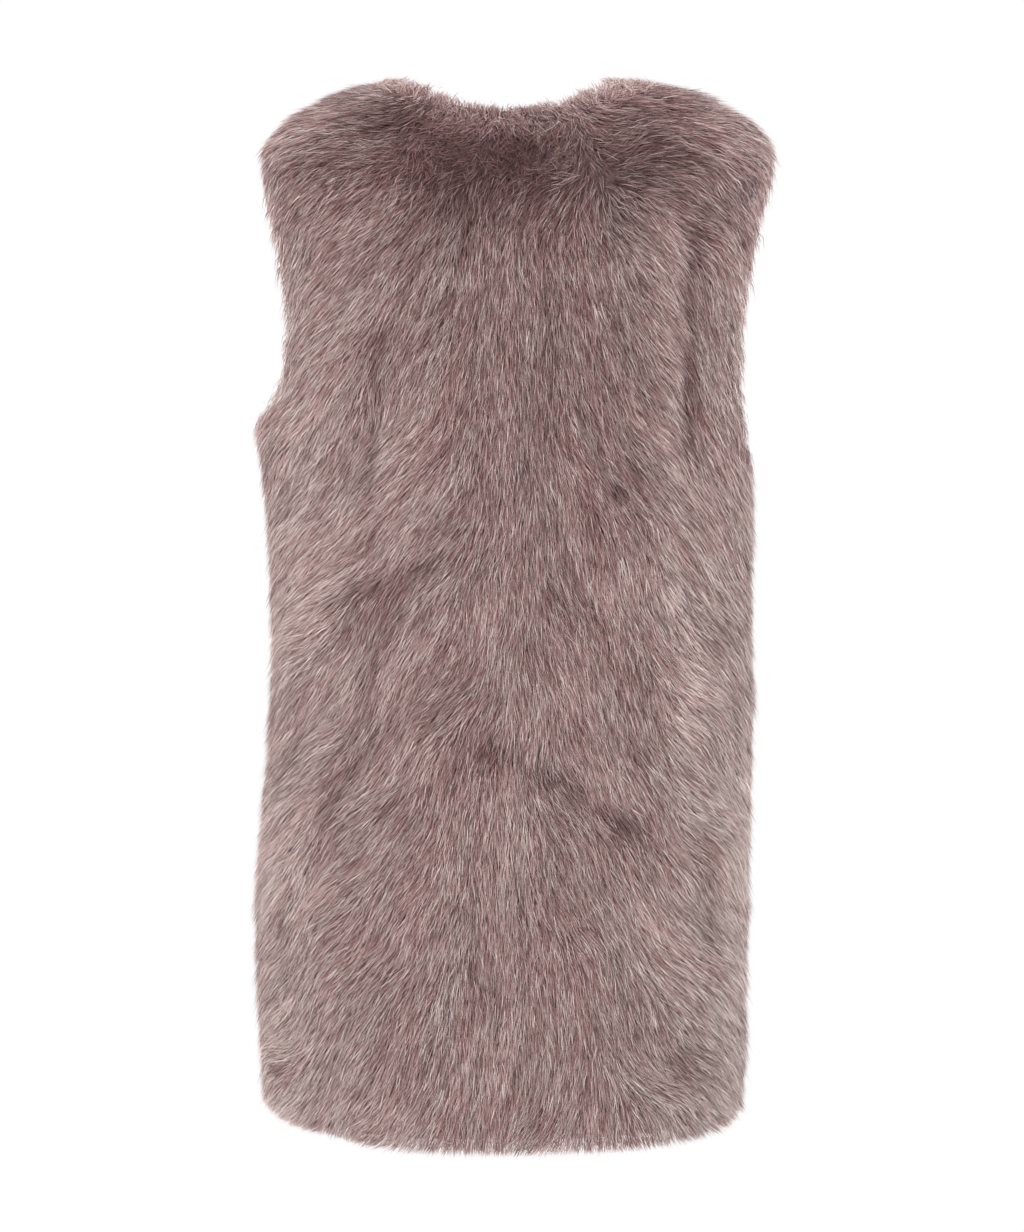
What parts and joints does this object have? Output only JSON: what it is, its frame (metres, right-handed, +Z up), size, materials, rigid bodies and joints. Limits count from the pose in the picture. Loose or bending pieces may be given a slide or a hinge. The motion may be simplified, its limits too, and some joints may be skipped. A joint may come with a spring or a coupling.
{
  "type": "faux fur vest",
  "caption": "Long collarless sleeveless vest of faux fur, straight cut, open down the centre front, in its worn hollow form.",
  "frame": {"origin": "midway between the wearer's shoulders, level with the underside of the shoulder seams, where the wearer holds the vest up", "axes": "+Z up, +Y to the wearer's front, +X to the wearer's right; the back of the vest faces -Y"},
  "size_m": [0.4222, 0.2321, 0.865],
  "materials": {
    "faux_fur": "long mauve-taupe pile with a soft sheen, paler at the tips"
  },
  "bodies": {
    "root": {"back": "faux_fur", "front_right": "faux_fur", "front_left": "faux_fur"}
  },
  "joints": []
}
